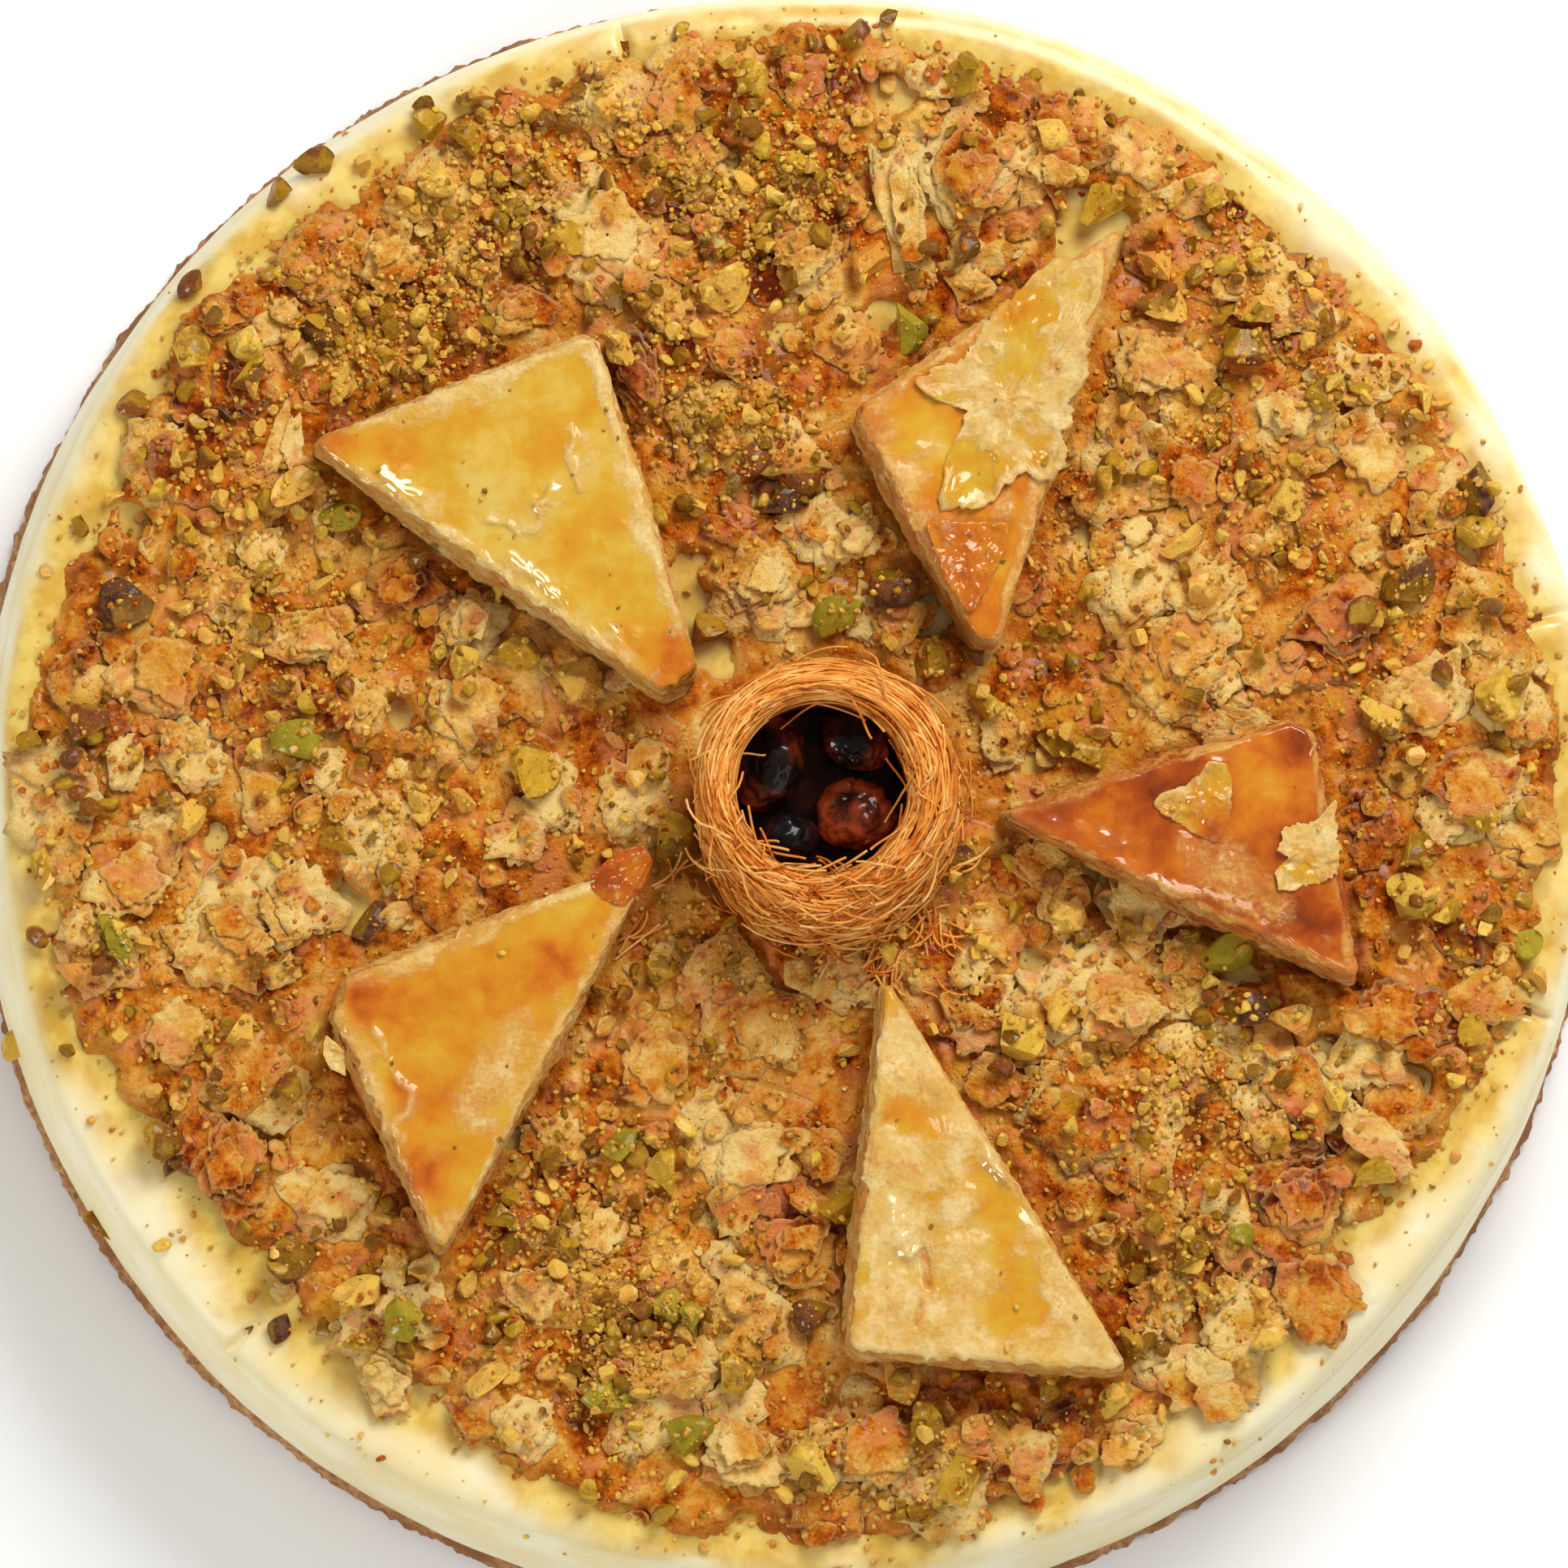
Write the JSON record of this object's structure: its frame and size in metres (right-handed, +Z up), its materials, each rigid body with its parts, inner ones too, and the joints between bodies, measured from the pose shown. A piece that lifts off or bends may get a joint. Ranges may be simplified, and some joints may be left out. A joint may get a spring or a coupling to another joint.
{
  "type": "baklava cheesecake",
  "caption": "Round cheesecake on a biscuit base, topped with crumbled baklava, chopped pistachios, baklava triangles and a shredded pastry nest of glazed nuts.",
  "frame": {"origin": "middle of the underside of the biscuit base, on the surface that the cake stands on", "axes": "+Z up; +Y towards the top of the picture, +X to its right"},
  "size_m": [0.254, 0.254, 0.0641],
  "materials": {
    "biscuit": "baked biscuit crumb, matt and rough",
    "cream": "pale ivory cream cheese, soft satin",
    "topping": "crumbled baklava and chopped pistachios with syrup",
    "pastry": "baked filo pastry under a coat of syrup",
    "nest": "fine shredded pastry, baked golden",
    "glazed_nut": "dark nuts in a glossy glaze"
  },
  "bodies": {
    "root": {"biscuit_base": "biscuit", "cheesecake": "cream", "baklava_topping": "topping", "baklava_triangle_1": "pastry", "baklava_triangle_2": "pastry", "baklava_triangle_3": "pastry", "baklava_triangle_4": "pastry", "baklava_triangle_5": "pastry", "kataifi_nest": "nest", "glazed_nut_1": "glazed_nut", "glazed_nut_2": "glazed_nut", "glazed_nut_3": "glazed_nut", "glazed_nut_4": "glazed_nut"}
  },
  "joints": []
}
